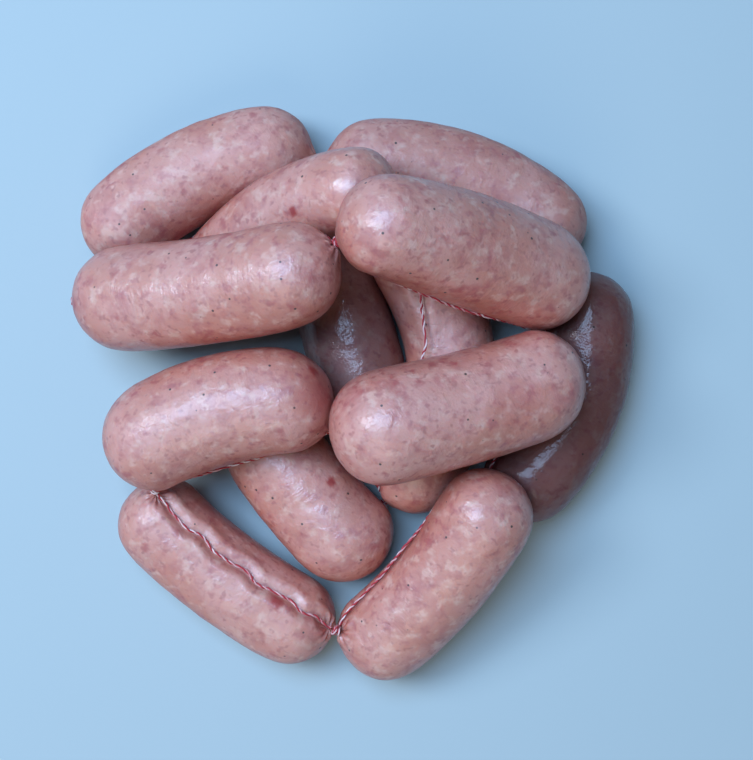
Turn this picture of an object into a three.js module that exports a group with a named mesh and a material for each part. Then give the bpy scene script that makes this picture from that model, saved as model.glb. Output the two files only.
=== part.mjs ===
// A string of raw sausage links, tied end to end with two-ply twine and lying in a heap.
// Millimetres, +Z up. The lowest links stand on z = 0, and the plan of the heap is centred on the origin.
import * as THREE from 'three';
import { mergeVertices } from 'three/addons/utils/BufferGeometryUtils.js';

// How the soft links give where they press: share of the two radii, and depth on the floor
const PRESS_SHARE = 0.09;
const FLOOR_PRESS = 1.5;
// Slit left between two skins that touch
const SKIN_GAP = 0.9;

// Knot between two links: how far its centre stands off the two round ends, and its own size
const KNOT_STAND_OFF = 2.8;
const KNOT_RADIUS = 1.8;
const KNOT_LENGTH = 3.2;
// Twisted casing between a round end and its knot
const NECK_RADIUS = 1.1;
const NECK_CLEARANCE = 2.2;
// Furthest that a neck can leave a round end sideways, in degrees from the link's own line
const NECK_SWING = 66;

// Twine
const TWINE_RADIUS = 0.65;
const TWINE_LIFT = 0.4;
const TWINE_START = 3.2;

// Facets
const ROUND_STEPS = 18;
const BODY_RINGS = 7;
const CAP_RINGS = 4;
const TIP_ANGLE = 0.24;
const TWINE_STEPS = 20;
const TWINE_SIDES = 5;
const KNOT_SIDES = 8;

// The links in the order they hang on the string. Plan positions of the centres of the two round ends,
// sideways bow of the middle (to the left, walking from the first end to the second), the two end radii,
// and the sides of the link that the twine leaves its first end and reaches its last end on, in degrees
// from the top towards the left. Some are a little fuller in the middle (belly), and two have slack twine
// that stands off its side (hang).
const LINKS = [
  { from: [-84.3, 27.4], to: [-28.1, 33.3], bow: -1.3, radii: [17.9, 17.1], twine: [115, 125] },
  { from: [2.6, 48.0], to: [54.6, 34.5], bow: 0.7, radii: [15.8, 17.9], belly: 1.4, twine: [-88, -92], hang: 2.4 },
  { from: [53.0, -1.9], to: [2.5, -15.1], bow: 0.7, radii: [18.1, 18.8], twine: [165, 150] },
  { from: [-31.3, -6.7], to: [-74.8, -18.9], bow: -2.8, radii: [17.5, 17.6], belly: 0.8, twine: [128, 84], hang: 1.2 },
  { from: [-74.5, -49.3], to: [-30.0, -82.6], bow: -2.1, radii: [16.0, 16.0], twine: [26, 24] },
  { from: [2.9, -88.1], to: [36.7, -44.6], bow: -2.4, radii: [16.6, 16.0], twine: [86, 75] },
  { from: [53.3, -34.0], to: [73.4, 21.5], bow: -6.2, radii: [16.0, 16.0], twine: [60, 60] },
  { from: [57.5, 54.9], to: [-0.9, 74.6], bow: -5.9, radii: [15.6, 16.0], twine: [105, 105] },
  { from: [-38.3, 78.8], to: [-88.2, 53.8], bow: -4.4, radii: [16.3, 16.0], twine: [110, 110] },
  { from: [-53.0, 38.2], to: [-6.3, 61.6], bow: 5.4, radii: [15.3, 13.9], twine: [-120, -120] },
  { from: [12.3, 41.7], to: [14.0, -31.0], bow: 12.9, radii: [15.6, 15.6], twine: [-9, -40] },
  { from: [-10.9, -54.4], to: [-36.9, -22.9], bow: 1.0, radii: [17.3, 17.0], twine: [-130, -130] },
  { from: [-4.8, -1.4], to: [-16.2, 39.6], bow: 0, radii: [16.4, 16.0], twine: [135, 135] },
];

// Which link went down first, from the ones on the floor to the ones on top
const LAID = [7, 8, 9, 5, 13, 12, 11, 6, 10, 1, 4, 2, 3];

// The knots between links, along the string: how far each leans over from the top of its joint, in
// degrees, and the slack casing that lets it stand further off, in millimetres
const KNOTS = [
  { lean: 150 },
  { lean: 180 },
  { lean: 140 },
  { lean: 0 },
  { lean: 0 },
  { lean: 150 },
  { lean: 300 },
  { lean: 40 },
  { lean: -90, slack: 1 },
  { lean: 0 },
  { lean: 170 },
  { lean: 0 },
];

// Colours and finish
const SKINS = [0xcfa596, 0xc9998c, 0xd3aa9b, 0xc68f84];
const TWINE_COLOUR = 0xd8a29c;
const KNOT_COLOUR = 0xb03a3c;

const UP = new THREE.Vector3(0, 0, 1);
const RADIANS = Math.PI / 180;

// Runs a function for each of n + 1 even steps from 0 to 1
function stations(n, make) {
  return Array.from({ length: n + 1 }, (_, k) => make(k / n));
}

// Point on a link's bowed centre line at share t of its length
function axisPoint(link, t) {
  const run = new THREE.Vector3().subVectors(link.ends[1], link.ends[0]);
  const left = new THREE.Vector3(-run.y, run.x, 0).normalize();
  return new THREE.Vector3()
    .lerpVectors(link.ends[0], link.ends[1], t)
    .addScaledVector(left, 4 * t * (1 - t) * link.bow);
}

function radiusAt(link, t) {
  return THREE.MathUtils.lerp(link.radii[0], link.radii[1], t) + 4 * t * (1 - t) * (link.belly ?? 0);
}

// Direction along the centre line, the most upright direction square to it, and the one to its left
function axisFrame(link, t) {
  const step = 0.01;
  const along = axisPoint(link, t + step).sub(axisPoint(link, t - step)).normalize();
  const up = UP.clone().addScaledVector(along, -along.z).normalize();
  const left = new THREE.Vector3().crossVectors(up, along);
  return { along, up, left };
}

// How far a point is outside a link's skin (negative inside), before the link is pressed by others
function outside(link, point) {
  let best = Infinity;
  for (let k = 0; k < link.samples.length - 1; k += 1) {
    const a = link.samples[k];
    const b = link.samples[k + 1];
    const run = new THREE.Vector3().subVectors(b, a);
    const share = THREE.MathUtils.clamp(new THREE.Vector3().subVectors(point, a).dot(run) / run.lengthSq(), 0, 1);
    const t = (k + share) / (link.samples.length - 1);
    best = Math.min(best, a.clone().addScaledVector(run, share).distanceTo(point) - radiusAt(link, t));
  }
  return best;
}

// Lays a link on the floor and on the links already down: it rests where it is held on both sides
// of its middle, sinking a little into what is under it.
function layLink(link, below) {
  const shares = stations(24, (t) => t);
  const points = shares.map((t) => axisPoint(link, t));
  const heights = shares.map((t, i) => {
    let height = radiusAt(link, t) - FLOOR_PRESS;
    for (const other of below) {
      other.samples.forEach((centre, k) => {
        const reach = (radiusAt(link, t) + radiusAt(other, k / (other.samples.length - 1))) * (1 - PRESS_SHARE);
        const away = Math.hypot(points[i].x - centre.x, points[i].y - centre.y);
        if (away < reach) {
          height = Math.max(height, centre.z + Math.sqrt(reach * reach - away * away));
        }
      });
    }
    return height;
  });
  let best = { middle: -1, start: 0, slope: 0 };
  shares.forEach((t0, i) => {
    shares.forEach((t1, j) => {
      if (t0 > 0.5 || t1 < 0.5) return;
      const slope = t1 > t0 ? (heights[j] - heights[i]) / (t1 - t0) : 0;
      const middle = heights[i] + slope * (0.5 - t0);
      if (middle > best.middle + 1e-9) best = { middle, start: heights[i] - slope * t0, slope };
    });
  });
  link.ends[0].z = best.start;
  link.ends[1].z = best.start + best.slope;
  link.samples = stations(24, (t) => axisPoint(link, t));
}

const links = LINKS.map((row) => ({
  ...row,
  ends: [new THREE.Vector3(...row.from, 0), new THREE.Vector3(...row.to, 0)],
}));
const down = [];
for (const place of LAID) {
  const link = links[place - 1];
  layLink(link, down);
  down.push(link);
}

// Where each knot sits: the first and last stand off the free ends, the others between two round ends
const knots = [];
function freeEndKnot(link, end) {
  const { along } = axisFrame(link, end);
  const outward = along.multiplyScalar(end === 0 ? -1 : 1);
  const centre = link.ends[end].clone().addScaledVector(outward, link.radii[end] + KNOT_STAND_OFF);
  return { centre, along: outward };
}
knots.push(freeEndKnot(links[0], 0));
KNOTS.forEach(({ lean, slack = 0 }, k) => {
  const a = links[k].ends[1];
  const b = links[k + 1].ends[0];
  const along = new THREE.Vector3().subVectors(b, a).normalize();
  const up = UP.clone().addScaledVector(along, -along.z).normalize();
  const side = new THREE.Vector3().crossVectors(up, along);
  const reach = (links[k].radii[1] + links[k + 1].radii[0]) / 2 + KNOT_STAND_OFF + slack;
  const half = a.distanceTo(b) / 2;
  const off = Math.sqrt(Math.max(0, reach * reach - half * half));
  const centre = new THREE.Vector3()
    .lerpVectors(a, b, 0.5)
    .addScaledVector(up, off * Math.cos(lean * RADIANS))
    .addScaledVector(side, off * Math.sin(lean * RADIANS));
  knots.push({ centre, along });
});
knots.push(freeEndKnot(links[links.length - 1], 1));

// The way that the neck leaves a round end: at the knot, as far as it can swing
function neckDirection(link, end, knot) {
  const { along } = axisFrame(link, end);
  const outward = along.multiplyScalar(end === 0 ? -1 : 1);
  const toKnot = new THREE.Vector3().subVectors(knot.centre, link.ends[end]).normalize();
  const swing = Math.min(outward.angleTo(toKnot), NECK_SWING * RADIANS);
  const across = toKnot.addScaledVector(outward, -toKnot.dot(outward)).normalize();
  return outward.multiplyScalar(Math.cos(swing)).addScaledVector(across, Math.sin(swing));
}

// Pulls a skin point back towards its base until it is clear of the floor and of its neighbours,
// each of two pressed links giving half.
function pressBack(link, others, base, point) {
  const arm = new THREE.Vector3().subVectors(point, base);
  const length = arm.length();
  arm.divideScalar(length);
  let reach = length;
  if (base.z + arm.z * reach < 0) reach = -base.z / arm.z;
  for (const other of others) {
    const meets = (distance) => {
      const probe = base.clone().addScaledVector(arm, distance);
      return outside(link, probe) > outside(other, probe) - SKIN_GAP;
    };
    if (!meets(reach)) continue;
    let low = 0;
    let high = reach;
    for (let k = 0; k < 24; k += 1) {
      const middle = (low + high) / 2;
      if (meets(middle)) high = middle;
      else low = middle;
    }
    reach = low;
  }
  const pressed = base.clone().addScaledVector(arm, reach);
  if (Math.abs(pressed.z) < 1e-6) pressed.z = 0;
  return pressed;
}

// One round end: rings from the body's last ring to the twisted neck that runs up to the knot
function capRings(link, end, knot) {
  const centre = link.ends[end];
  const radius = link.radii[end];
  const { up, left } = axisFrame(link, end);
  const toKnot = neckDirection(link, end, knot);
  const neckEnd = Math.min(knot.centre.distanceTo(centre) - NECK_CLEARANCE, radius + 4);
  const starts = stations(ROUND_STEPS, (s) => s * 2 * Math.PI).slice(0, ROUND_STEPS).map((angle) => {
    const edge = up.clone().multiplyScalar(Math.cos(angle)).addScaledVector(left, Math.sin(angle));
    const spread = Math.acos(edge.dot(toKnot));
    const outward = edge.clone().addScaledVector(toKnot, -edge.dot(toKnot)).normalize();
    return { spread, outward };
  });
  const at = (outward, height, across) =>
    centre.clone().addScaledVector(toKnot, height).addScaledVector(outward, across);
  const rings = [];
  for (let k = 1; k <= CAP_RINGS; k += 1) {
    rings.push(starts.map(({ spread, outward }) => {
      const angle = THREE.MathUtils.lerp(spread, TIP_ANGLE, k / CAP_RINGS);
      return at(outward, radius * Math.cos(angle), radius * Math.sin(angle));
    }));
  }
  rings.push(starts.map(({ outward }) => at(outward, radius + 0.25, NECK_RADIUS + 0.7)));
  rings.push(starts.map(({ outward }) => at(outward, neckEnd, NECK_RADIUS)));
  return { rings, pole: at(toKnot, neckEnd, 0) };
}

// A link: a bowed body with two round ends, pressed flat where it bears on the floor and its neighbours
function linkGeometry(index) {
  const link = links[index];
  const others = links.filter((other) => other !== link);
  const first = capRings(link, 0, knots[index]);
  const last = capRings(link, 1, knots[index + 1]);
  const rings = [];
  const pressRing = (ring, base) => ring.map((point) => pressBack(link, others, base, point));
  for (const ring of first.rings.toReversed()) rings.push(pressRing(ring, link.ends[0]));
  for (let k = 0; k < BODY_RINGS; k += 1) {
    const t = k / (BODY_RINGS - 1);
    const base = axisPoint(link, t);
    const { up, left } = axisFrame(link, t);
    const ring = stations(ROUND_STEPS, (s) => s * 2 * Math.PI).slice(0, ROUND_STEPS).map((angle) =>
      base.clone()
        .addScaledVector(up, radiusAt(link, t) * Math.cos(angle))
        .addScaledVector(left, radiusAt(link, t) * Math.sin(angle)));
    rings.push(pressRing(ring, base));
  }
  for (const ring of last.rings) rings.push(pressRing(ring, link.ends[1]));

  const points = [...rings.flat(), first.pole, last.pole];
  const startPole = points.length - 2;
  const endPole = points.length - 1;
  const faces = [];
  const n = ROUND_STEPS;
  for (let k = 0; k < n; k += 1) {
    const next = (k + 1) % n;
    faces.push(startPole, k, next);
    for (let r = 0; r < rings.length - 1; r += 1) {
      const a = r * n + k;
      const b = r * n + next;
      const c = (r + 1) * n + k;
      const d = (r + 1) * n + next;
      faces.push(a, c, b);
      faces.push(b, c, d);
    }
    const lastRing = (rings.length - 1) * n;
    faces.push(endPole, lastRing + next, lastRing + k);
  }
  return solid(points, faces);
}

function solid(points, faces) {
  const geometry = new THREE.BufferGeometry();
  geometry.setAttribute('position', new THREE.Float32BufferAttribute(points.flatMap((p) => p.toArray()), 3));
  geometry.setIndex(faces);
  geometry.computeVertexNormals();
  return geometry;
}

// Centre line of the twine along one link: off one knot, over the round end, along the chosen side,
// and over the other end to the next knot, then eased off every skin until it lies clear in the gaps.
function twineLine(index) {
  const link = links[index];
  const lift = TWINE_RADIUS + TWINE_LIFT;
  const sideAt = (t) => THREE.MathUtils.lerp(link.twine[0], link.twine[1], t) * RADIANS;
  const overEnd = (end, knot) => {
    const { up, left } = axisFrame(link, end);
    const toKnot = neckDirection(link, end, knot);
    const side = sideAt(end);
    const edge = up.clone().multiplyScalar(Math.cos(side)).addScaledVector(left, Math.sin(side));
    const outward = edge.clone().addScaledVector(toKnot, -edge.dot(toKnot)).normalize();
    const spread = Math.acos(edge.dot(toKnot));
    const nearest = TWINE_START / link.radii[end];
    const arc = stations(9, (s) => {
      const angle = THREE.MathUtils.lerp(nearest, spread, s);
      return link.ends[end].clone()
        .addScaledVector(toKnot, (link.radii[end] + lift) * Math.cos(angle))
        .addScaledVector(outward, (link.radii[end] + lift) * Math.sin(angle));
    });
    const reach = arc[0].distanceTo(knot.centre);
    if (reach > 2 * TWINE_START) arc.unshift(knot.centre.clone().lerp(arc[0], TWINE_START / reach));
    return arc;
  };
  const body = stations(14, (t) => {
    const { up, left } = axisFrame(link, t);
    const side = sideAt(t);
    const reach = radiusAt(link, t) + lift + 4 * t * (1 - t) * (link.hang ?? 0);
    return axisPoint(link, t)
      .addScaledVector(up, reach * Math.cos(side))
      .addScaledVector(left, reach * Math.sin(side));
  });
  const line = [...overEnd(0, knots[index]), ...body.slice(1, -1), ...overEnd(1, knots[index + 1]).toReversed()];

  for (let round = 0; round < 160; round += 1) {
    for (let k = 1; k < line.length - 1; k += 1) {
      const middle = new THREE.Vector3().addVectors(line[k - 1], line[k + 1]).multiplyScalar(0.5);
      line[k].lerp(middle, 0.25);
    }
    for (let k = 1; k < line.length - 1; k += 1) {
      for (const other of links) {
        const near = outside(other, line[k]);
        if (near >= lift) continue;
        line[k].addScaledVector(steepest(other, line[k]), (lift - near) * 0.9);
      }
      for (const knot of knots) {
        const away = line[k].distanceTo(knot.centre);
        const least = KNOT_RADIUS + 2 * TWINE_RADIUS;
        if (away < least) line[k].sub(knot.centre).setLength(least).add(knot.centre);
      }
      line[k].z = Math.max(line[k].z, lift);
    }
  }
  return line;
}

// Direction straight off a link's skin at a point
function steepest(link, point) {
  const step = 0.05;
  const here = outside(link, point);
  return new THREE.Vector3(
    outside(link, point.clone().setX(point.x + step)) - here,
    outside(link, point.clone().setY(point.y + step)) - here,
    outside(link, point.clone().setZ(point.z + step)) - here,
  ).normalize();
}

function twineGeometry(index) {
  const section = new THREE.Shape();
  for (let k = 0; k < TWINE_SIDES; k += 1) {
    const angle = (k / TWINE_SIDES) * 2 * Math.PI;
    const corner = [TWINE_RADIUS * Math.cos(angle), TWINE_RADIUS * Math.sin(angle)];
    if (k === 0) section.moveTo(...corner);
    else section.lineTo(...corner);
  }
  section.closePath();
  const tube = new THREE.ExtrudeGeometry(section, {
    steps: TWINE_STEPS,
    extrudePath: new THREE.CatmullRomCurve3(twineLine(index)),
    bevelEnabled: false,
  });
  tube.deleteAttribute('normal');
  tube.deleteAttribute('uv');
  const merged = mergeVertices(tube, 1e-4);
  merged.computeVertexNormals();
  return merged;
}

// A knot: twine wound round the pinched casing, fuller at its two outer turns
function knotGeometry(knot) {
  const half = KNOT_LENGTH / 2;
  const profile = [
    [0, -half],
    [KNOT_RADIUS * 0.72, -half],
    [KNOT_RADIUS, -half * 0.5],
    [KNOT_RADIUS * 0.88, 0],
    [KNOT_RADIUS, half * 0.5],
    [KNOT_RADIUS * 0.72, half],
    [0, half],
  ];
  const geometry = new THREE.LatheGeometry(profile.map(([r, h]) => new THREE.Vector2(r, h)), KNOT_SIDES);
  geometry.applyQuaternion(new THREE.Quaternion().setFromUnitVectors(new THREE.Vector3(0, 1, 0), knot.along));
  return geometry;
}

function material(colour, roughness) {
  return new THREE.MeshStandardMaterial({ color: colour, roughness, metalness: 0 });
}

const heap = new THREE.Group();

function add(name, geometry, finish, place) {
  const mesh = new THREE.Mesh(geometry, finish);
  mesh.name = name;
  if (place) mesh.position.copy(place);
  heap.add(mesh);
}

const numbered = (word, k) => `${word}_${String(k + 1).padStart(2, '0')}`;

links.forEach((link, k) => {
  add(numbered('link', k), linkGeometry(k), material(SKINS[k % SKINS.length], 0.35));
});
links.forEach((link, k) => {
  add(numbered('twine', k), twineGeometry(k), material(TWINE_COLOUR, 0.85));
});
knots.forEach((knot, k) => {
  add(numbered('knot', k), knotGeometry(knot), material(KNOT_COLOUR, 0.8), knot.centre);
});

// Centres the plan of the whole heap on the origin; the floor links already stand on z = 0
const box = new THREE.Box3().setFromObject(heap, true);
const middle = box.getCenter(new THREE.Vector3());
heap.position.set(-middle.x, -middle.y, 0);

export default heap;
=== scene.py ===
import math

import bmesh
import bpy
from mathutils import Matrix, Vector, noise
from mathutils.bvhtree import BVHTree


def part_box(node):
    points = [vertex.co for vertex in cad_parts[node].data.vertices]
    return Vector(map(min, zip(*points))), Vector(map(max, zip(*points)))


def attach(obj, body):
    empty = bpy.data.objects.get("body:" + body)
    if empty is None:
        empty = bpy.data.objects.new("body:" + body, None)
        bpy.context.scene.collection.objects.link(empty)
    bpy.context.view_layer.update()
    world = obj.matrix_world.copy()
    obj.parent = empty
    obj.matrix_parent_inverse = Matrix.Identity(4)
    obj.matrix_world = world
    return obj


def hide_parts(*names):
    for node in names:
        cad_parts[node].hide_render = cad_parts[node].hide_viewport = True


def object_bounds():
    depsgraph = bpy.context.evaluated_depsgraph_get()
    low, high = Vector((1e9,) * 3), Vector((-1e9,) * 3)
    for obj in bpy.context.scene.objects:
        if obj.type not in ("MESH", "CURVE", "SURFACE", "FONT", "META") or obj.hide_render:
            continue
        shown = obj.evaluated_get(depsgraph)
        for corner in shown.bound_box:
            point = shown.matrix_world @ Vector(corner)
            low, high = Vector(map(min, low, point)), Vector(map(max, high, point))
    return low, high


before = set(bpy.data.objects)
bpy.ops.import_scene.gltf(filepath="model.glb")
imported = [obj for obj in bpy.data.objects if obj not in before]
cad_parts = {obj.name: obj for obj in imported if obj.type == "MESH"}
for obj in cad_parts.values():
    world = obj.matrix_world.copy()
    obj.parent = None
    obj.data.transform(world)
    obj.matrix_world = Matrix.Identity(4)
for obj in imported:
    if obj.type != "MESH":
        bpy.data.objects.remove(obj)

solids_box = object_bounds()

# Camera
# Straight above the heap, at the height that gives the links on top their size against the lowest ones.
# The middle of the picture lies a little right of and above the middle of the heap.

MM = 0.001
CAMERA_HEIGHT = 520 * MM
CAMERA_PLAN = (7.95 * MM, 4.59 * MM)
CAMERA_LENS = 68.97
CAMERA_SENSOR = 36

camera_data = bpy.data.cameras.new("camera")
camera_data.lens = CAMERA_LENS
camera_data.sensor_width = CAMERA_SENSOR
camera = bpy.data.objects.new("camera", camera_data)
camera.location = (*CAMERA_PLAN, CAMERA_HEIGHT)
bpy.context.collection.objects.link(camera)
bpy.context.scene.camera = camera
bpy.context.scene.view_settings.view_transform = "Standard"

# Sausage links
# Raw pork links: coarse minced meat pushed into wet natural casing and pinched off at both ends.
# Soft, so each is pressed flat where it bears on what it lies on, and dented by its twine.

LINKS = [f"link_{k:02d}" for k in range(1, 14)]

CASING_LEVELS = 3
CASING_SWELL = 0.42 * MM
LUMP_SIZE = 12.0 * MM
LUMP_DEPTH = 0.8 * MM
MINCE_SIZE = 3.4 * MM
MINCE_DEPTH = 0.24 * MM
UNEVEN_DETAIL = 1.5
SEED_STEP = 3.1

# The casing is gathered in pleats at each tie: how far they reach from the knot, and where they are full
PLEAT_COUNT = 9.0
PLEAT_DEPTH = 0.4 * MM
PLEAT_REACH = 10 * MM
PLEAT_FULL = 1.5 * MM

# The furrow pressed by the twine, deeper on two links, and the low lip that rises on each side of it.
# The lip's place is in furrow widths from the twine, and its height is a share of the furrow's depth.
FURROW_WIDTH = 2.4 * MM
USUAL_FURROW = 0.9 * MM
FURROW_DEPTH = {"link_05": 1.7 * MM, "link_11": 1.5 * MM}
FURROW_STEEPNESS = 1.6
LIP_PLACE = 1.7
LIP_HEIGHT = 0.3
LIP_STEEPNESS = 2.2

# How much darker and wetter the mince of a link is than the others, 0 to 1: partly its own darker meat and
# partly painted shade on the links that lie low in the shade of the others
DARK_MINCE_AND_SHADE = {"link_07": 1.0, "link_13": 0.85, "link_08": 0.15}

# How far the skin of a link has dried and lost its shine, 0 to 1
DRIED = {"link_09": 0.9, "link_08": 0.7, "link_05": 0.3, "link_04": 0.2}

# Blood spots under the skin: place in mm, size in mm and strength
BLOOD = {
    "link_01": [((-92.4, 30.1, 37.1), 3.5, 1.2)],
    "link_03": [((53.2, -2.3, 61.0), 13.0, 0.28)],
    "link_04": [((-12.2, 7.2, 50.1), 2.6, 1.8), ((-10.2, 0.0, 50.0), 13.0, 0.6)],
    "link_05": [((-25.6, -69.9, 29.6), 3.4, 1.5), ((-63.5, -30.5, 26.0), 6.0, 0.5)],
    "link_10": [((-18.9, 58.9, 51.7), 2.0, 2.2)],
    "link_12": [((-7.4, -29.8, 29.2), 2.1, 1.7)],
}

# A spot's edge, in shares of its size: how far out it is looked for, how ragged it is, and the size of
# that raggedness. Then how far its middle is past full before its own strength counts.
SPOT_REACH = 1.6
SPOT_RAGGED = 0.35
SPOT_GRAIN = 0.5
SPOT_CORE = 1.3


def linear(hex_colour):
    """The linear colour, with alpha 1, of an sRGB hex value."""
    parts = [int(hex_colour[k:k + 2], 16) / 255 for k in (1, 3, 5)]
    return (*[p / 12.92 if p <= 0.04045 else ((p + 0.055) / 1.055) ** 2.4 for p in parts], 1.0)


def add_node(tree, kind, inputs=None, **settings):
    """A new node. inputs maps a socket's name or number to a value, or the node or socket that feeds it."""
    node = tree.nodes.new(kind)
    for name, value in settings.items():
        setattr(node, name, value)
    for key, value in (inputs or {}).items():
        if isinstance(value, bpy.types.Node):
            value = value.outputs[0]
        if isinstance(value, bpy.types.NodeSocket):
            tree.links.new(value, node.inputs[key])
        else:
            node.inputs[key].default_value = value
    return node


def new_object(name, data):
    """An object at the origin that shows a mesh or a lamp."""
    piece = bpy.data.objects.new(name, data)
    bpy.context.collection.objects.link(piece)
    return piece


def baked(piece):
    """Turns an object's live modifiers into a plain mesh and removes them."""
    graph = bpy.context.evaluated_depsgraph_get()
    mesh = bpy.data.meshes.new_from_object(piece.evaluated_get(graph))
    piece.modifiers.clear()
    old = piece.data
    piece.data = mesh
    bpy.data.meshes.remove(old)
    return piece


def set_inputs(modifier, values):
    """Sets a node modifier's inputs, by their names in its tree."""
    sockets = modifier.node_group.interface.items_tree
    for name, value in values.items():
        modifier[sockets[name].identifier] = value


# Raw pork in casing: minced lean and fat seen through a thin wet skin. Pale pink-beige, mottled with
# pink lean and cream fat, with dark pepper and herb specks. The upward faces are painted paler and
# cooler as a painted sheen, and the low sides are painted redder and darker as a painted shade.

FLESH_PALE = "#D09384"
FLESH_WARM = "#C67F6A"
LEAN_PINK = "#A94A4A"
FAT_CREAM = "#DFB9A6"
FRECKLE_RED = "#A04A47"
# Partly the colour of darker mince and partly painted shade
DARK_FLESH_AND_SHADE = "#3C1419"
PEPPER_DARK = "#2C2421"
STAIN_RED = "#9C1418"
TIED_END = "#9A463E"
# A pale cool painted sheen for the upward faces
TOP_SHEEN_PAINT = "#C2B0AC"
# A dark red painted shade for the low sides
LOW_SHADE_PAINT = "#902E25"

# Mottling from the lowest layer up: the colour, how much it covers, and its patches. A patch begins at
# one value of the noise and is full at the other, and sizes and shifts are in mm.
MOTTLES = [
    (FLESH_WARM, 1.0, dict(size=22.0, begins=0.34, full=0.66, detail=2.0, shift=31.0)),
    (LEAN_PINK, 0.55, dict(size=9.0, begins=0.48, full=0.74, shift=71.0, warp=0.8)),
    (FAT_CREAM, 0.6, dict(size=4.2, begins=0.50, full=0.74, detail=2.0, shift=53.0, warp=0.15)),
    (LEAN_PINK, 0.8, dict(size=4.4, begins=0.52, full=0.74, detail=2.5, shift=7.0, warp=0.2)),
    (FRECKLE_RED, 0.62, dict(size=2.3, begins=0.58, full=0.76, detail=1.0, shift=91.0, warp=0.0)),
]
PATCH_ROUGHNESS = 0.55

# How far a skin faces up where the painted sheen on top, or the painted shade low on the sides, begins and
# where it is full
TOP_SHEEN_FACING = (0.45, 0.97)
LOW_SHADE_FACING = (0.72, 0.1)

# How far the painted sheen on top and the painted shade low on the sides hide the colour under them
TOP_SHEEN_COVER = 0.2
LOW_SHADE_COVER = 0.5
# How far the dark links are blended to their darker colour, partly painted shade
DARK_COVER = 0.78
PEPPER_COVER = 0.92
TIED_COVER = 0.35
STAIN_COVER = 0.85

# Pepper specks: one in two cells of this spacing in mm holds one, and its edge is in shares of the spacing
PEPPER_SPACING = 5.2
PEPPER_CHANCE = 0.5
PEPPER_EDGE = (0.1, 0.065)

# Skin from damp to less damp, and what drying adds to it
DAMP = dict(size=7.0, begins=0.35, full=0.65, shift=17.0)
DAMP_ROUGHNESS = (0.48, 0.62)
DRIED_ROUGHNESS = 0.16

# The film of juice, wet and dried, its gloss over pale and over dark mince, and the skin's own shine there
FILM_WEIGHT = (0.6, 0.1)
FILM_ROUGHNESS = (0.17, 0.08)
FILM_IOR = 1.4
SKIN_SHINE = (1.0, 0.2)
SKIN_IOR = 1.55

# Light goes some way into the meat, red light the furthest
MEAT_SCATTER = 0.55
MEAT_SCATTER_RADIUS = (1.0, 0.3, 0.2)
MEAT_SCATTER_DEPTH = 4.0 * MM

# Fine relief, sizes in mm: grain and ripples all over, and patches of skin crinkled across the link
GRAIN_SIZE = 0.8
GRAIN_DETAIL = 3.0
RIPPLE_SIZE = 2.6
RIPPLE_DETAIL = 2.0
RIPPLE_HEIGHT = 2.4
CRINKLED = dict(size=8.0, begins=0.45, full=0.62, shift=113.0)
CRINKLE_SIZE = (1.3, 9.0, 9.0)
CRINKLE_DETAIL = 3.0
CRINKLE_WARP = 0.6
CRINKLE_HEIGHT = 2.6
RELIEF_STRENGTH = 0.6
RELIEF_DEPTH = 0.12 * MM


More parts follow.
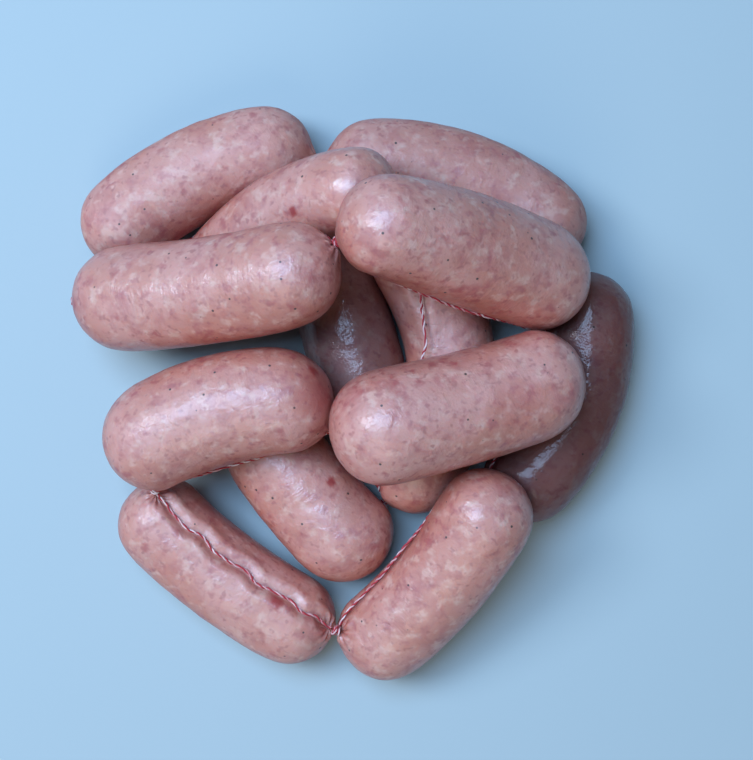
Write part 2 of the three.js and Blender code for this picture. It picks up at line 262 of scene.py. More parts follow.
def raw_pork_material():
    material = bpy.data.materials.new("raw_pork_in_wet_casing")
    material.use_nodes = True
    tree = material.node_tree
    tree.nodes.clear()
    place = add_node(tree, "ShaderNodeTexCoord").outputs["Object"]
    mm = add_node(tree, "ShaderNodeMapping", {"Vector": place, "Scale": (1 / MM, 1 / MM, 1 / MM)})

    def patches(size, begins, full, detail=3.0, shift=0.0, warp=0.4):
        """Soft-edged patches of about that size in mm: 1 inside a patch, 0 between."""
        shifts = (shift, shift * 0.7, -shift)
        moved = add_node(tree, "ShaderNodeVectorMath", {0: mm, 1: shifts}, operation="ADD")
        field = add_node(tree, "ShaderNodeTexNoise", {
            "Vector": moved,
            "Scale": 1 / size,
            "Detail": detail,
            "Roughness": PATCH_ROUGHNESS,
            "Distortion": warp,
        })
        return add_node(tree, "ShaderNodeMapRange", {
            "Value": field, "From Min": begins, "From Max": full}, interpolation_type="SMOOTHSTEP")

    def blend(share, cover, under, over):
        """The colour under, hidden by the colour over where share is 1, as far as cover says."""
        amount = add_node(tree, "ShaderNodeMath", {0: share, 1: cover}, operation="MULTIPLY")
        mix = add_node(tree, "ShaderNodeMix", {"Factor": amount, 6: under, 7: over}, data_type="RGBA")
        return mix.outputs[2]

    colour = linear(FLESH_PALE)
    for mottle, cover, patch in MOTTLES:
        colour = blend(patches(**patch), cover, colour, linear(mottle))

    facing_up = add_node(tree, "ShaderNodeAttribute", attribute_name="facing_up").outputs["Fac"]
    # Painted sheen: the more a skin faces up, the paler and cooler it is painted
    top_sheen = add_node(tree, "ShaderNodeMapRange", {
        "Value": facing_up, "From Min": TOP_SHEEN_FACING[0], "From Max": TOP_SHEEN_FACING[1]},
        interpolation_type="SMOOTHSTEP")
    colour = blend(top_sheen, TOP_SHEEN_COVER, colour, linear(TOP_SHEEN_PAINT))
    # Painted shade: the more a skin faces down, the redder and darker it is painted
    low_shade = add_node(tree, "ShaderNodeMapRange", {
        "Value": facing_up, "From Min": LOW_SHADE_FACING[0], "From Max": LOW_SHADE_FACING[1]},
        interpolation_type="SMOOTHSTEP")
    colour = blend(low_shade, LOW_SHADE_COVER, colour, linear(LOW_SHADE_PAINT))
    # Partly darker mince and partly painted shade: the dark links are blended toward a near-black red
    dark = add_node(tree, "ShaderNodeAttribute", attribute_name="dark").outputs["Fac"]
    colour = blend(dark, DARK_COVER, colour, linear(DARK_FLESH_AND_SHADE))

    cells = add_node(tree, "ShaderNodeTexVoronoi", {"Vector": mm, "Scale": 1 / PEPPER_SPACING})
    dot = add_node(tree, "ShaderNodeMapRange", {
        "Value": cells.outputs["Distance"], "From Min": PEPPER_EDGE[0], "From Max": PEPPER_EDGE[1]})
    chance = add_node(tree, "ShaderNodeSeparateColor", {0: cells.outputs["Color"]})
    chosen = add_node(tree, "ShaderNodeMath", {0: chance, 1: PEPPER_CHANCE}, operation="GREATER_THAN")
    pepper = add_node(tree, "ShaderNodeMath", {0: dot, 1: chosen}, operation="MULTIPLY")
    colour = blend(pepper, PEPPER_COVER, colour, linear(PEPPER_DARK))

    tied = add_node(tree, "ShaderNodeAttribute", attribute_name="gather").outputs["Fac"]
    colour = blend(tied, TIED_COVER, colour, linear(TIED_END))
    stain = add_node(tree, "ShaderNodeAttribute", attribute_name="stain").outputs["Fac"]
    colour = blend(stain, STAIN_COVER, colour, linear(STAIN_RED))

    drying = add_node(tree, "ShaderNodeAttribute", attribute_name="dry").outputs["Fac"]
    roughness = add_node(tree, "ShaderNodeMapRange", {
        "Value": patches(**DAMP), "To Min": DAMP_ROUGHNESS[0], "To Max": DAMP_ROUGHNESS[1]})
    roughness = add_node(tree, "ShaderNodeMath", {
        0: drying, 1: DRIED_ROUGHNESS, 2: roughness}, operation="MULTIPLY_ADD")
    film = add_node(tree, "ShaderNodeMapRange", {
        "Value": drying, "To Min": FILM_WEIGHT[0], "To Max": FILM_WEIGHT[1]})
    gloss = add_node(tree, "ShaderNodeMapRange", {
        "Value": dark, "To Min": FILM_ROUGHNESS[0], "To Max": FILM_ROUGHNESS[1]})
    shine = add_node(tree, "ShaderNodeMapRange", {
        "Value": dark, "To Min": SKIN_SHINE[0], "To Max": SKIN_SHINE[1]})

    grain = add_node(tree, "ShaderNodeTexNoise", {
        "Vector": mm, "Scale": 1 / GRAIN_SIZE, "Detail": GRAIN_DETAIL})
    ripple = add_node(tree, "ShaderNodeTexNoise", {
        "Vector": mm, "Scale": 1 / RIPPLE_SIZE, "Detail": RIPPLE_DETAIL})
    lay = add_node(tree, "ShaderNodeAttribute", attribute_name="lay").outputs["Vector"]
    drawn = add_node(tree, "ShaderNodeVectorMath", {0: lay, 1: CRINKLE_SIZE}, operation="DIVIDE")
    crinkle = add_node(tree, "ShaderNodeTexNoise", {
        "Vector": drawn, "Scale": 1.0, "Detail": CRINKLE_DETAIL, "Distortion": CRINKLE_WARP})
    folds = add_node(tree, "ShaderNodeMath", {0: crinkle, 1: patches(**CRINKLED)}, operation="MULTIPLY")
    height = add_node(tree, "ShaderNodeMath", {
        0: ripple, 1: RIPPLE_HEIGHT, 2: grain}, operation="MULTIPLY_ADD")
    height = add_node(tree, "ShaderNodeMath", {
        0: folds, 1: CRINKLE_HEIGHT, 2: height}, operation="MULTIPLY_ADD")
    relief = add_node(tree, "ShaderNodeBump", {
        "Height": height, "Strength": RELIEF_STRENGTH, "Distance": RELIEF_DEPTH})

    shader = add_node(tree, "ShaderNodeBsdfPrincipled", {
        "Base Color": colour,
        "Roughness": roughness,
        "Normal": relief,
        "IOR": SKIN_IOR,
        "Specular IOR Level": shine,
        "Subsurface Weight": MEAT_SCATTER,
        "Subsurface Radius": MEAT_SCATTER_RADIUS,
        "Subsurface Scale": MEAT_SCATTER_DEPTH,
        "Coat Weight": film,
        "Coat Roughness": gloss,
        "Coat IOR": FILM_IOR,
        "Coat Normal": relief,
    })
    add_node(tree, "ShaderNodeOutputMaterial", {"Surface": shader})
    return material


raw_pork = raw_pork_material()

# A direction that no link's end points in, to count the turn of a pleat from
OFF_AXIS = (0.31, 0.86, 0.4)
UP = (0.0, 0.0, 1.0)


def casing_tree():
    """Smooths a link and gives its skin lumps, pleats at both ties and a furrow under the twine."""
    tree = bpy.data.node_groups.new("casing", "GeometryNodeTree")
    sockets = tree.interface
    sockets.new_socket("Geometry", in_out="INPUT", socket_type="NodeSocketGeometry")
    sockets.new_socket("Levels", in_out="INPUT", socket_type="NodeSocketInt")
    sockets.new_socket("Twine", in_out="INPUT", socket_type="NodeSocketObject")
    for name in ("Swell", "Lump Size", "Lump Depth", "Mince Size", "Mince Depth", "Pleat Count", "Pleat Reach",
                 "Pleat Depth", "Furrow Width", "Furrow Depth", "Dark", "Dry", "Seed"):
        sockets.new_socket(name, in_out="INPUT", socket_type="NodeSocketFloat")
    for name in ("First Knot", "First Inward", "Last Knot", "Last Inward", "Low Corner", "High Corner"):
        sockets.new_socket(name, in_out="INPUT", socket_type="NodeSocketVector")
    sockets.new_socket("Skin", in_out="INPUT", socket_type="NodeSocketMaterial")
    sockets.new_socket("Geometry", in_out="OUTPUT", socket_type="NodeSocketGeometry")
    given = add_node(tree, "NodeGroupInput").outputs

    smooth = add_node(tree, "GeometryNodeSubdivisionSurface", {
        "Mesh": given["Geometry"], "Level": given["Levels"]})
    place = add_node(tree, "GeometryNodeInputPosition")
    normal = add_node(tree, "GeometryNodeInputNormal")
    mm = add_node(tree, "ShaderNodeVectorMath", {0: place, "Scale": 1 / MM}, operation="SCALE")

    def uneven(size, depth):
        """Bumps and hollows of about that size, half the depth each way."""
        scale = add_node(tree, "ShaderNodeMath", {0: MM, 1: size}, operation="DIVIDE")
        field = add_node(tree, "ShaderNodeTexNoise", {
            "Vector": mm, "W": given["Seed"], "Scale": scale, "Detail": UNEVEN_DETAIL},
            noise_dimensions="4D")
        level = add_node(tree, "ShaderNodeMath", {0: field, 1: 0.5}, operation="SUBTRACT")
        return add_node(tree, "ShaderNodeMath", {0: level, 1: depth}, operation="MULTIPLY")

    def gathered(knot, inward):
        """How near a tie a point is, 1 at its knot, and the pleats there as a wave round the link's end."""
        arm = add_node(tree, "ShaderNodeVectorMath", {0: place, 1: knot}, operation="SUBTRACT")
        away = add_node(tree, "ShaderNodeVectorMath", {0: arm}, operation="LENGTH").outputs["Value"]
        near = add_node(tree, "ShaderNodeMapRange", {
            "Value": away, "From Min": given["Pleat Reach"], "From Max": PLEAT_FULL},
            interpolation_type="SMOOTHSTEP")
        side = add_node(tree, "ShaderNodeVectorMath", {0: inward, 1: OFF_AXIS}, operation="CROSS_PRODUCT")
        side = add_node(tree, "ShaderNodeVectorMath", {0: side}, operation="NORMALIZE")
        other = add_node(tree, "ShaderNodeVectorMath", {0: inward, 1: side}, operation="CROSS_PRODUCT")
        on_side = add_node(tree, "ShaderNodeVectorMath", {0: arm, 1: side}, operation="DOT_PRODUCT")
        on_other = add_node(tree, "ShaderNodeVectorMath", {0: arm, 1: other}, operation="DOT_PRODUCT")
        turn = add_node(tree, "ShaderNodeMath", {
            0: on_side.outputs["Value"], 1: on_other.outputs["Value"]}, operation="ARCTAN2")
        turn = add_node(tree, "ShaderNodeMath", {0: turn, 1: given["Pleat Count"]}, operation="MULTIPLY")
        wave = add_node(tree, "ShaderNodeMath", {0: turn}, operation="COSINE")
        return near, add_node(tree, "ShaderNodeMath", {0: wave, 1: near}, operation="MULTIPLY")

    def bell(away, steepness):
        """1 where away is 0, and less on both sides of it."""
        square = add_node(tree, "ShaderNodeMath", {0: away, 1: away}, operation="MULTIPLY")
        power = add_node(tree, "ShaderNodeMath", {0: square, 1: -steepness}, operation="MULTIPLY")
        return add_node(tree, "ShaderNodeMath", {0: power}, operation="EXPONENT")

    lumps = uneven(given["Lump Size"], given["Lump Depth"])
    mince = uneven(given["Mince Size"], given["Mince Depth"])
    near_first, pleat_first = gathered(given["First Knot"], given["First Inward"])
    near_last, pleat_last = gathered(given["Last Knot"], given["Last Inward"])
    near = add_node(tree, "ShaderNodeMath", {0: near_first, 1: near_last}, operation="MAXIMUM")
    pleats = add_node(tree, "ShaderNodeMath", {0: pleat_first, 1: pleat_last}, operation="ADD")
    pleats = add_node(tree, "ShaderNodeMath", {0: pleats, 1: given["Pleat Depth"]}, operation="MULTIPLY")

    line = add_node(tree, "GeometryNodeObjectInfo", {"Object": given["Twine"]}, transform_space="ORIGINAL")
    to_twine = add_node(tree, "GeometryNodeProximity", {0: line.outputs["Geometry"]}, target_element="EDGES")
    away = add_node(tree, "ShaderNodeMath", {
        0: to_twine.outputs["Distance"], 1: given["Furrow Width"]}, operation="DIVIDE")
    from_lip = add_node(tree, "ShaderNodeMath", {0: away, 1: LIP_PLACE}, operation="SUBTRACT")
    lip = add_node(tree, "ShaderNodeMath", {
        0: bell(from_lip, LIP_STEEPNESS), 1: LIP_HEIGHT}, operation="MULTIPLY")
    furrow = add_node(tree, "ShaderNodeMath", {0: bell(away, FURROW_STEEPNESS), 1: lip}, operation="SUBTRACT")
    furrow = add_node(tree, "ShaderNodeMath", {0: furrow, 1: given["Furrow Depth"]}, operation="MULTIPLY")

    rise = add_node(tree, "ShaderNodeMath", {0: lumps, 1: mince}, operation="ADD")
    rise = add_node(tree, "ShaderNodeMath", {0: given["Swell"], 1: rise}, operation="ADD")
    rise = add_node(tree, "ShaderNodeMath", {0: rise, 1: pleats}, operation="ADD")
    rise = add_node(tree, "ShaderNodeMath", {0: rise, 1: furrow}, operation="SUBTRACT")
    offset = add_node(tree, "ShaderNodeVectorMath", {0: normal, "Scale": rise}, operation="SCALE")
    spot = add_node(tree, "ShaderNodeVectorMath", {0: place, 1: offset}, operation="ADD")
    spot = add_node(tree, "ShaderNodeVectorMath", {0: spot, 1: given["High Corner"]}, operation="MINIMUM")
    spot = add_node(tree, "ShaderNodeVectorMath", {0: spot, 1: given["Low Corner"]}, operation="MAXIMUM")
    kept = add_node(tree, "GeometryNodeSetPosition", {"Geometry": smooth, "Position": spot})

    # How far the skin faces up, which the material uses for its painted sheen on top and painted shade low on
    # the sides
    facing = add_node(tree, "ShaderNodeVectorMath", {0: normal, 1: UP}, operation="DOT_PRODUCT")
    marks = {
        "gather": near,
        "dark": given["Dark"],
        "dry": given["Dry"],
        "facing_up": facing.outputs["Value"],
    }
    for name, value in marks.items():
        kept = add_node(tree, "GeometryNodeStoreNamedAttribute", {
            "Geometry": kept, "Name": name, "Value": value}, data_type="FLOAT", domain="POINT")

    length = add_node(tree, "ShaderNodeVectorMath", {
        0: given["Last Knot"], 1: given["First Knot"]}, operation="SUBTRACT")
    length = add_node(tree, "ShaderNodeVectorMath", {0: length}, operation="NORMALIZE")
    across = add_node(tree, "ShaderNodeVectorMath", {0: length, 1: UP}, operation="CROSS_PRODUCT")
    across = add_node(tree, "ShaderNodeVectorMath", {0: across}, operation="NORMALIZE")
    upward = add_node(tree, "ShaderNodeVectorMath", {0: across, 1: length}, operation="CROSS_PRODUCT")
    lay = add_node(tree, "ShaderNodeCombineXYZ")
    for k, way in enumerate((length, across, upward)):
        reach = add_node(tree, "ShaderNodeVectorMath", {0: place, 1: way}, operation="DOT_PRODUCT")
        reach = add_node(tree, "ShaderNodeMath", {0: reach.outputs["Value"], 1: 1 / MM}, operation="MULTIPLY")
        tree.links.new(reach.outputs[0], lay.inputs[k])
    kept = add_node(tree, "GeometryNodeStoreNamedAttribute", {
        "Geometry": kept, "Name": "lay", "Value": lay}, data_type="FLOAT_VECTOR", domain="POINT")

    shaded = add_node(tree, "GeometryNodeSetShadeSmooth", {"Geometry": kept})
    real = add_node(tree, "GeometryNodeRealizeInstances", {"Geometry": shaded})
    skinned = add_node(tree, "GeometryNodeSetMaterial", {"Geometry": real, "Material": given["Skin"]})
    add_node(tree, "NodeGroupOutput", {"Geometry": skinned})
    return tree


casing = casing_tree()

# The path of the twine on each skin, which is made with the skin because it presses the furrow into it:
# how deep the twine sinks, how far it sways to both sides, and how far it is drawn to one side midway

TWINES = [f"twine_{k:02d}" for k in range(1, 14)]
KNOTS = [f"knot_{k:02d}" for k in range(1, 15)]

TWINE_RADIUS = 0.5 * MM
TWINE_STEP = 1.2 * MM
USUAL_SINK = 0.3 * MM
TWINE_SINK = {"twine_05": 0.9 * MM, "twine_11": 0.8 * MM}
USUAL_WANDER = 0.2 * MM
WANDER = {"twine_05": 0.75 * MM, "twine_11": 0.4 * MM}
WANDER_LENGTH = 17 * MM
WANDER_AGAIN = 11.3
DRIFT = {"twine_11": 4.2 * MM}

# A run sways and sinks fully this many steps from its knots. Where it stands further off the skin than
# the slack gap it stays in the air, and it lies on the skin where it is nearer than that by the ease.
LEAD_STEPS = 6
SLACK_GAP = 2.8 * MM
SLACK_EASE = 1.0 * MM

# A link's solid is merged, its triangles are paired at any angle, and it is rounded to lay the twine on
SAME_POINT = 0.02 * MM
ANY_ANGLE = 3.1
ROUNDING_LEVELS = 2

# The points of a ring of a twine solid lie within this reach, and a curve has this many parts from ring
# to ring. A run starts this share of the way from its knot to its first ring.
RING_REACH = 1.7 * MM
CURVE_PARTS = 12
KNOT_LEAD = 0.35

# The part of a link this near a knot is its end, and shows which way the link goes in from there
END_REACH = 15 * MM


def soft_quads(link):
    """A merged copy of a link's solid, its triangles joined in pairs so that it smooths evenly."""
    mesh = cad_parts[link].data.copy()
    work = bmesh.new()
    work.from_mesh(mesh)
    bmesh.ops.remove_doubles(work, verts=work.verts, dist=SAME_POINT)
    bmesh.ops.join_triangles(
        work, faces=work.faces, cmp_seam=False,
        angle_face_threshold=ANY_ANGLE, angle_shape_threshold=ANY_ANGLE)
    work.to_mesh(mesh)
    work.free()
    mesh.materials.clear()
    return mesh


def knot_centre(k):
    """The middle of the knot before link k, counted from 0."""
    low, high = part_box(KNOTS[k])
    return (Vector(low) + Vector(high)) / 2


def ring_centres(node, start):
    """The centre line of a twine solid: the middles of its rings, in order from the point start."""
    points = [v.co.copy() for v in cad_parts[node].data.vertices]
    middles = []
    while points:
        seed = points[0]
        ring = [p for p in points if (p - seed).length < RING_REACH]
        points = [p for p in points if (p - seed).length >= RING_REACH]
        middles.append(sum(ring, Vector()) / len(ring))
    line = []
    here = start
    while middles:
        here = min(middles, key=lambda p: (p - here).length)
        middles.remove(here)
        line.append(here)
    return line


def resampled(points, step):
    """Evenly spaced points on a smooth curve through the given ones."""
    padded = [points[0] * 2 - points[1], *points, points[-1] * 2 - points[-2]]
    fine = []
    for a, b, c, d in zip(padded, padded[1:], padded[2:], padded[3:]):
        for k in range(CURVE_PARTS):
            t = k / CURVE_PARTS
            fine.append(0.5 * (2 * b + (c - a) * t + (2 * a - 5 * b + 4 * c - d) * t * t
                               + (3 * b - a - 3 * c + d) * t ** 3))
    fine.append(points[-1])
    even = [fine[0]]
    gone = 0.0
    for a, b in zip(fine, fine[1:]):
        gone += (b - a).length
        if gone >= step:
            even.append(b)
            gone = 0.0
    even.append(fine[-1])
    return even


def laid_on(skin, line, sink, wander, drift):
    """The line let down onto a skin and sunk into it, swaying sideways and drawn to one side midway."""
    laid = []
    travelled = 0.0
    last = len(line) - 1
    for k, point in enumerate(line):
        if k:
            travelled += (point - line[k - 1]).length
        ahead = line[min(k + 1, last)] - line[max(k - 1, 0)]
        ends = min(1.0, min(k, last - k) / LEAD_STEPS)
        phase = travelled / WANDER_LENGTH
        sway = math.sin(phase * math.tau) + 0.5 * math.sin(phase * WANDER_AGAIN)
        middle = math.sin(k / last * math.pi)
        normal = skin.find_nearest(point)[1]
        point = point + normal.cross(ahead.normalized()) * (wander * sway * ends + drift * middle)
        close, normal, _, gap = skin.find_nearest(point)
        down = max(0.0, min(1.0, (SLACK_GAP - gap) / SLACK_EASE))
        laid.append(point.lerp(close + normal * (TWINE_RADIUS - sink * ends), down))
    return laid


def line_object(name, points):
    """An object of nothing but edges, from point to point."""
    mesh = bpy.data.meshes.new(name)
    mesh.from_pydata(points, [(k, k + 1) for k in range(len(points) - 1)], [])
    return new_object(name, mesh)


def stained(piece, spots):
    """Marks the skin near each spot as soaked with blood, most at its middle, with an uneven edge."""
    attribute = piece.data.attributes.new("stain", "FLOAT", "POINT")
    for place, size, strength in spots:
        middle = Vector(place) * MM
        for k, vertex in enumerate(piece.data.vertices):
            away = (vertex.co - middle).length / (size * MM)
            if away < SPOT_REACH:
                away += SPOT_RAGGED * noise.noise(vertex.co / (SPOT_GRAIN * size * MM))
                mark = min(1.0, strength * max(0.0, SPOT_CORE - SPOT_CORE * away))
                attribute.data[k].value = max(attribute.data[k].value, mark)


casings = []
lines = []
for k, (link, twine) in enumerate(zip(LINKS, TWINES)):
    plain = new_object(link + "_casing", soft_quads(link))
    rounded = plain.modifiers.new("round", "SUBSURF")
    rounded.levels = rounded.render_levels = ROUNDING_LEVELS
    graph = bpy.context.evaluated_depsgraph_get()
    skin = BVHTree.FromObject(plain, graph)
    plain.modifiers.clear()

    first, last = knot_centre(k), knot_centre(k + 1)
    route = ring_centres(twine, first)
    route = [first.lerp(route[0], KNOT_LEAD), *route, last.lerp(route[-1], KNOT_LEAD)]
    sink = TWINE_SINK.get(twine, USUAL_SINK)
    wander = WANDER.get(twine, USUAL_WANDER)
    route = laid_on(skin, resampled(route, TWINE_STEP), sink, wander, DRIFT.get(twine, 0.0))
    line = line_object(twine + "_line", route)

    inward = []
    for knot in (first, last):
        close = [v.co for v in plain.data.vertices if (v.co - knot).length < END_REACH]
        inward.append((sum(close, Vector()) / len(close) - knot).normalized())
    modifier = plain.modifiers.new("casing", "NODES")
    modifier.node_group = casing
    set_inputs(modifier, {
        "Levels": CASING_LEVELS,
        "Twine": line,
        "Swell": CASING_SWELL,
        "Lump Size": LUMP_SIZE,
        "Lump Depth": LUMP_DEPTH,
        "Mince Size": MINCE_SIZE,
        "Mince Depth": MINCE_DEPTH,
        "Pleat Count": PLEAT_COUNT,
        "Pleat Reach": PLEAT_REACH,
        "Pleat Depth": PLEAT_DEPTH,
        "Furrow Width": FURROW_WIDTH,
        "Furrow Depth": FURROW_DEPTH.get(link, USUAL_FURROW),
        "Dark": DARK_MINCE_AND_SHADE.get(link, 0.0),
        "Dry": DRIED.get(link, 0.0),
        "Seed": SEED_STEP * k,
        "First Knot": first,
        "First Inward": inward[0],
        "Last Knot": last,
        "Last Inward": inward[1],
        "Low Corner": solids_box[0],
        "High Corner": solids_box[1],
        "Skin": raw_pork,
    })
    casings.append(baked(plain))
    stained(casings[-1], BLOOD.get(link, []))
    lines.append(line)

for link, piece in zip(LINKS, casings):
    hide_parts(link)
    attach(piece, "root")

# Twine runs
# Two-ply butcher's twine, one ply red and one white, damp and stained by the meat. One run goes along
# each link from knot to knot, pressed into the soft skin, and wanders a little where it is slack.

# Spun cotton, one ply dyed red and one left white: matt, a little fuzzy, and blotched where meat
# juice has soaked in. Real fibres are far finer than half a millimetre, and are drawn that coarse to show.

PLY_WHITE = "#EFE2DE"
PLY_RED = "#B01E2B"
JUICE_PINK = "#BC4650"
WHITE_SOAKED = 0.8
RED_SOAKED = 0.15
SOAK_SIZE = 9.0
SOAK_RANGE = (0.38, 0.60)
FIBRE_SIZE = 0.5
FIBRE_STRENGTH = 0.6
FIBRE_DEPTH = 0.08 * MM
COTTON_DETAIL = 2.0
COTTON_ROUGHNESS = 0.6
COTTON_SHEEN = 0.2


def cotton_ply_material(name, colour, soaked):
    material = bpy.data.materials.new(name)
    material.use_nodes = True
    tree = material.node_tree
    tree.nodes.clear()
    place = add_node(tree, "ShaderNodeTexCoord").outputs["Object"]
    mm = add_node(tree, "ShaderNodeMapping", {"Vector": place, "Scale": (1 / MM, 1 / MM, 1 / MM)})
    soak = add_node(tree, "ShaderNodeTexNoise", {
        "Vector": mm, "Scale": 1 / SOAK_SIZE, "Detail": COTTON_DETAIL})
    share = add_node(tree, "ShaderNodeMapRange", {
        "Value": soak, "From Min": SOAK_RANGE[0], "From Max": SOAK_RANGE[1], "To Max": soaked})
    mix = add_node(tree, "ShaderNodeMix", {
        "Factor": share, 6: linear(colour), 7: linear(JUICE_PINK)}, data_type="RGBA")
    fibre = add_node(tree, "ShaderNodeTexNoise", {
        "Vector": mm, "Scale": 1 / FIBRE_SIZE, "Detail": COTTON_DETAIL})
    fuzz = add_node(tree, "ShaderNodeBump", {
        "Height": fibre, "Strength": FIBRE_STRENGTH, "Distance": FIBRE_DEPTH})
    shader = add_node(tree, "ShaderNodeBsdfPrincipled", {
        "Base Color": mix.outputs[2],
        "Normal": fuzz,
        "Roughness": COTTON_ROUGHNESS,
        "Sheen Weight": COTTON_SHEEN,
    })
    add_node(tree, "ShaderNodeOutputMaterial", {"Surface": shader})
    return material


white_ply = cotton_ply_material("white_cotton_ply", PLY_WHITE, WHITE_SOAKED)
red_ply = cotton_ply_material("red_cotton_ply", PLY_RED, RED_SOAKED)

# The plies touch and go round each other once in a pitch, a little looser in some places than in others
PLY_RADIUS = 0.27 * MM
PLY_OFFSET = 0.24 * MM
PLY_PITCH = 4.6 * MM
PLY_STEP = 0.4 * MM
PLY_SIDES = 8
LOOSE_TURNS = 1.6
LOOSE_SCALE = 0.6
LOOSE_DETAIL = 1.0


def two_ply_tree():
    """Twists a red and a white ply round a line."""
    tree = bpy.data.node_groups.new("two_ply_twine", "GeometryNodeTree")
    sockets = tree.interface
    sockets.new_socket("Geometry", in_out="INPUT", socket_type="NodeSocketGeometry")
    for name in ("Ply Radius", "Ply Offset", "Pitch", "Step"):
        sockets.new_socket(name, in_out="INPUT", socket_type="NodeSocketFloat")
    sockets.new_socket("White Ply", in_out="INPUT", socket_type="NodeSocketMaterial")
    sockets.new_socket("Red Ply", in_out="INPUT", socket_type="NodeSocketMaterial")
    sockets.new_socket("Geometry", in_out="OUTPUT", socket_type="NodeSocketGeometry")
    given = add_node(tree, "NodeGroupInput").outputs

    curve = add_node(tree, "GeometryNodeMeshToCurve", {"Mesh": given["Geometry"]})
    curve = add_node(tree, "GeometryNodeResampleCurve", {
        "Curve": curve, "Length": given["Step"]}, mode="LENGTH")
    along = add_node(tree, "GeometryNodeInputTangent")
    across = add_node(tree, "GeometryNodeInputNormal")
    third = add_node(tree, "ShaderNodeVectorMath", {0: along, 1: across}, operation="CROSS_PRODUCT")
    travelled = add_node(tree, "GeometryNodeSplineParameter").outputs["Length"]
    turns = add_node(tree, "ShaderNodeMath", {0: travelled, 1: given["Pitch"]}, operation="DIVIDE")
    loose = add_node(tree, "ShaderNodeTexNoise", {
        "W": turns, "Scale": LOOSE_SCALE, "Detail": LOOSE_DETAIL}, noise_dimensions="1D")
    turns = add_node(tree, "ShaderNodeMath", {0: loose, 1: LOOSE_TURNS, 2: turns}, operation="MULTIPLY_ADD")
    profile = add_node(tree, "GeometryNodeCurvePrimitiveCircle", {
        "Resolution": PLY_SIDES, "Radius": given["Ply Radius"]})

    plies = []
    for start, ply in ((0.0, "White Ply"), (math.pi, "Red Ply")):
        angle = add_node(tree, "ShaderNodeMath", {0: turns, 1: math.tau, 2: start}, operation="MULTIPLY_ADD")
        arms = []
        for axis, wave in ((across, "COSINE"), (third, "SINE")):
            swing = add_node(tree, "ShaderNodeMath", {0: angle}, operation=wave)
            reach = add_node(tree, "ShaderNodeMath", {0: swing, 1: given["Ply Offset"]}, operation="MULTIPLY")
            arms.append(add_node(tree, "ShaderNodeVectorMath", {0: axis, "Scale": reach}, operation="SCALE"))
        offset = add_node(tree, "ShaderNodeVectorMath", {0: arms[0], 1: arms[1]}, operation="ADD")
        moved = add_node(tree, "GeometryNodeSetPosition", {"Geometry": curve, "Offset": offset})
        tube = add_node(tree, "GeometryNodeCurveToMesh", {
            "Curve": moved, "Profile Curve": profile, "Fill Caps": True})
        smooth = add_node(tree, "GeometryNodeSetShadeSmooth", {"Geometry": tube})
        real = add_node(tree, "GeometryNodeRealizeInstances", {"Geometry": smooth})
        plies.append(add_node(tree, "GeometryNodeSetMaterial", {"Geometry": real, "Material": given[ply]}))
    joined = add_node(tree, "GeometryNodeJoinGeometry")
    for ply in plies:
        tree.links.new(ply.outputs[0], joined.inputs[0])
    add_node(tree, "NodeGroupOutput", {"Geometry": joined})
    return tree


two_ply = two_ply_tree()


def spun(line, name, step):
    """The twine that follows a line object, as a piece of that name."""
    line.name = name
    modifier = line.modifiers.new("twine", "NODES")
    modifier.node_group = two_ply
    set_inputs(modifier, {
        "Ply Radius": PLY_RADIUS,
        "Ply Offset": PLY_OFFSET,
        "Pitch": PLY_PITCH,
        "Step": step,
        "White Ply": white_ply,
        "Red Ply": red_ply,
    })
    return baked(line)


for line, twine in zip(lines, TWINES):
    piece = spun(line, twine + "_plies", PLY_STEP)
    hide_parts(twine)
    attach(piece, "root")

# Knots
# The twine goes a few tight turns round the twisted casing between two links, and one turn crosses
# over the others to lock them.

COIL_TURNS = 2.2
COIL_RADIUS = 1.2 * MM
COIL_PITCH = 1.1 * MM
COIL_STEPS = 16
COIL_PLY_STEP = 0.3 * MM
LOCK_RISE = 0.5 * MM
NECK_REACH = 12 * MM

# A direction that no knot's axis has, to start its turns from
OFF_NECK = Vector((0.3, 0.5, 0.8))


def coil_points(centre, along):
    """Turns wound round a line through centre, then a turn that crosses back over them."""
    side = along.cross(OFF_NECK).normalized()
    other = along.cross(side)
    points = []
    steps = int(COIL_TURNS * COIL_STEPS)
    for k in range(steps + 1):
        angle = k / COIL_STEPS * math.tau
        rise = (k / steps - 0.5) * COIL_TURNS * COIL_PITCH
        arm = side * math.cos(angle) + other * math.sin(angle)
        points.append(centre + along * rise + arm * COIL_RADIUS)
    for k in range(1, COIL_STEPS + 1):
        angle = (steps + k) / COIL_STEPS * math.tau
        rise = (0.5 - k / COIL_STEPS) * COIL_TURNS * COIL_PITCH
        out = COIL_RADIUS + LOCK_RISE * math.sin(k / COIL_STEPS * math.pi)
        arm = side * math.cos(angle) + other * math.sin(angle)
        points.append(centre + along * rise + arm * out)
    return points


def knot_line(k):
    """Direction from the link before a knot to the link after it."""
    centre = knot_centre(k)
    near = []
    for link in (LINKS[k - 1] if k else None, LINKS[k] if k < len(LINKS) else None):
        if link:
            close = [v.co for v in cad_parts[link].data.vertices if (v.co - centre).length < NECK_REACH]
            near.append(sum(close, Vector()) / len(close))
    start, end = near if len(near) == 2 else (near[0], centre)
    return (end - start).normalized()


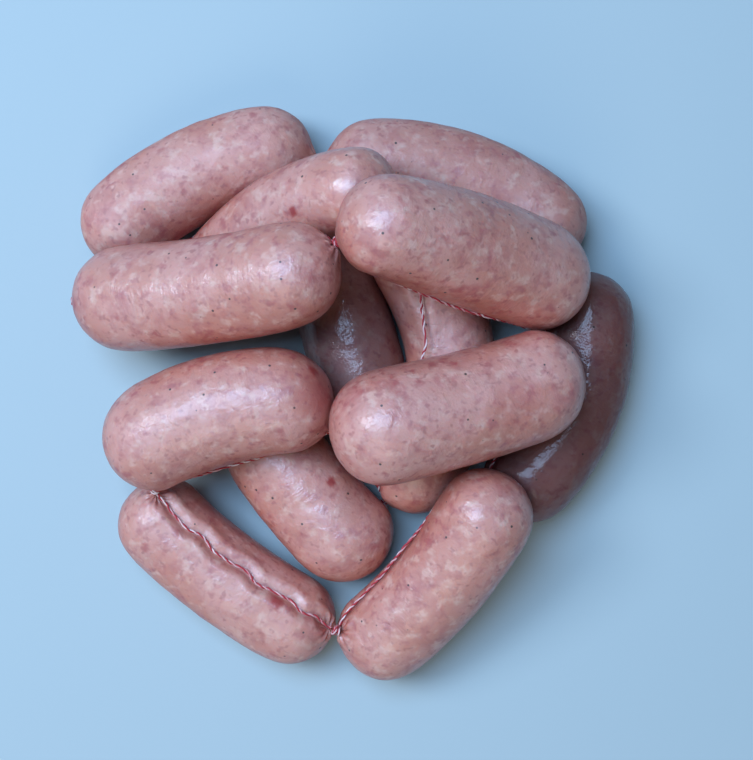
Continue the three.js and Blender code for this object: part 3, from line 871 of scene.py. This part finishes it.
for k, knot in enumerate(KNOTS):
    line = line_object(knot + "_line", coil_points(knot_centre(k), knot_line(k)))
    piece = spun(line, knot + "_turns", COIL_PLY_STEP)
    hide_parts(knot)
    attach(piece, "root")

# Floor and light
# A pale cool floor under two large cool lights from the upper left, one of them nearly overhead,
# with a weak warm light from the front and a little fill all round.

FLOOR_COLOUR = "#A7BDC1"
FLOOR_ROUGHNESS = 0.7
FLOOR_REACH = 3
FILL_COLOUR = "#DDE3EA"
FILL_STRENGTH = 0.12
LIGHT_AIM = Vector((0, 0, 40 * MM))

# Round soft lights: place in m, width in m, power in W, colour
LIGHTS = {
    "window": ((-0.93, 0.29, 1.15), 0.56, 11.0, "#E2ECFF"),
    "sky": ((-0.40, 0.40, 1.56), 1.0, 29.0, "#B2D3FF"),
    "room": ((-0.25, -0.95, 1.05), 0.8, 4.2, "#FFEFE4"),
}

floor_mesh = bpy.data.meshes.new("floor")
corners = [(-1, -1), (1, -1), (1, 1), (-1, 1)]
floor_mesh.from_pydata([(x * FLOOR_REACH, y * FLOOR_REACH, 0) for x, y in corners], [], [(0, 1, 2, 3)])
floor = new_object("floor", floor_mesh)

# Matt paint: even, with soft shadows and no mirrored links
floor_material = bpy.data.materials.new("pale_matt_floor")
floor_material.use_nodes = True
floor_shader = floor_material.node_tree.nodes["Principled BSDF"]
floor_shader.inputs["Base Color"].default_value = linear(FLOOR_COLOUR)
floor_shader.inputs["Roughness"].default_value = FLOOR_ROUGHNESS
floor_mesh.materials.append(floor_material)

world = bpy.data.worlds.new("fill")
world.use_nodes = True
world.node_tree.nodes["Background"].inputs["Color"].default_value = linear(FILL_COLOUR)
world.node_tree.nodes["Background"].inputs["Strength"].default_value = FILL_STRENGTH
bpy.context.scene.world = world

for name, (place, width, power, colour) in LIGHTS.items():
    data = bpy.data.lights.new(name, "AREA")
    data.shape = "DISK"
    data.size = width
    data.energy = power
    data.color = linear(colour)[:3]
    light = new_object(name, data)
    light.location = place
    light.rotation_euler = (LIGHT_AIM - Vector(place)).to_track_quat("-Z", "Y").to_euler()
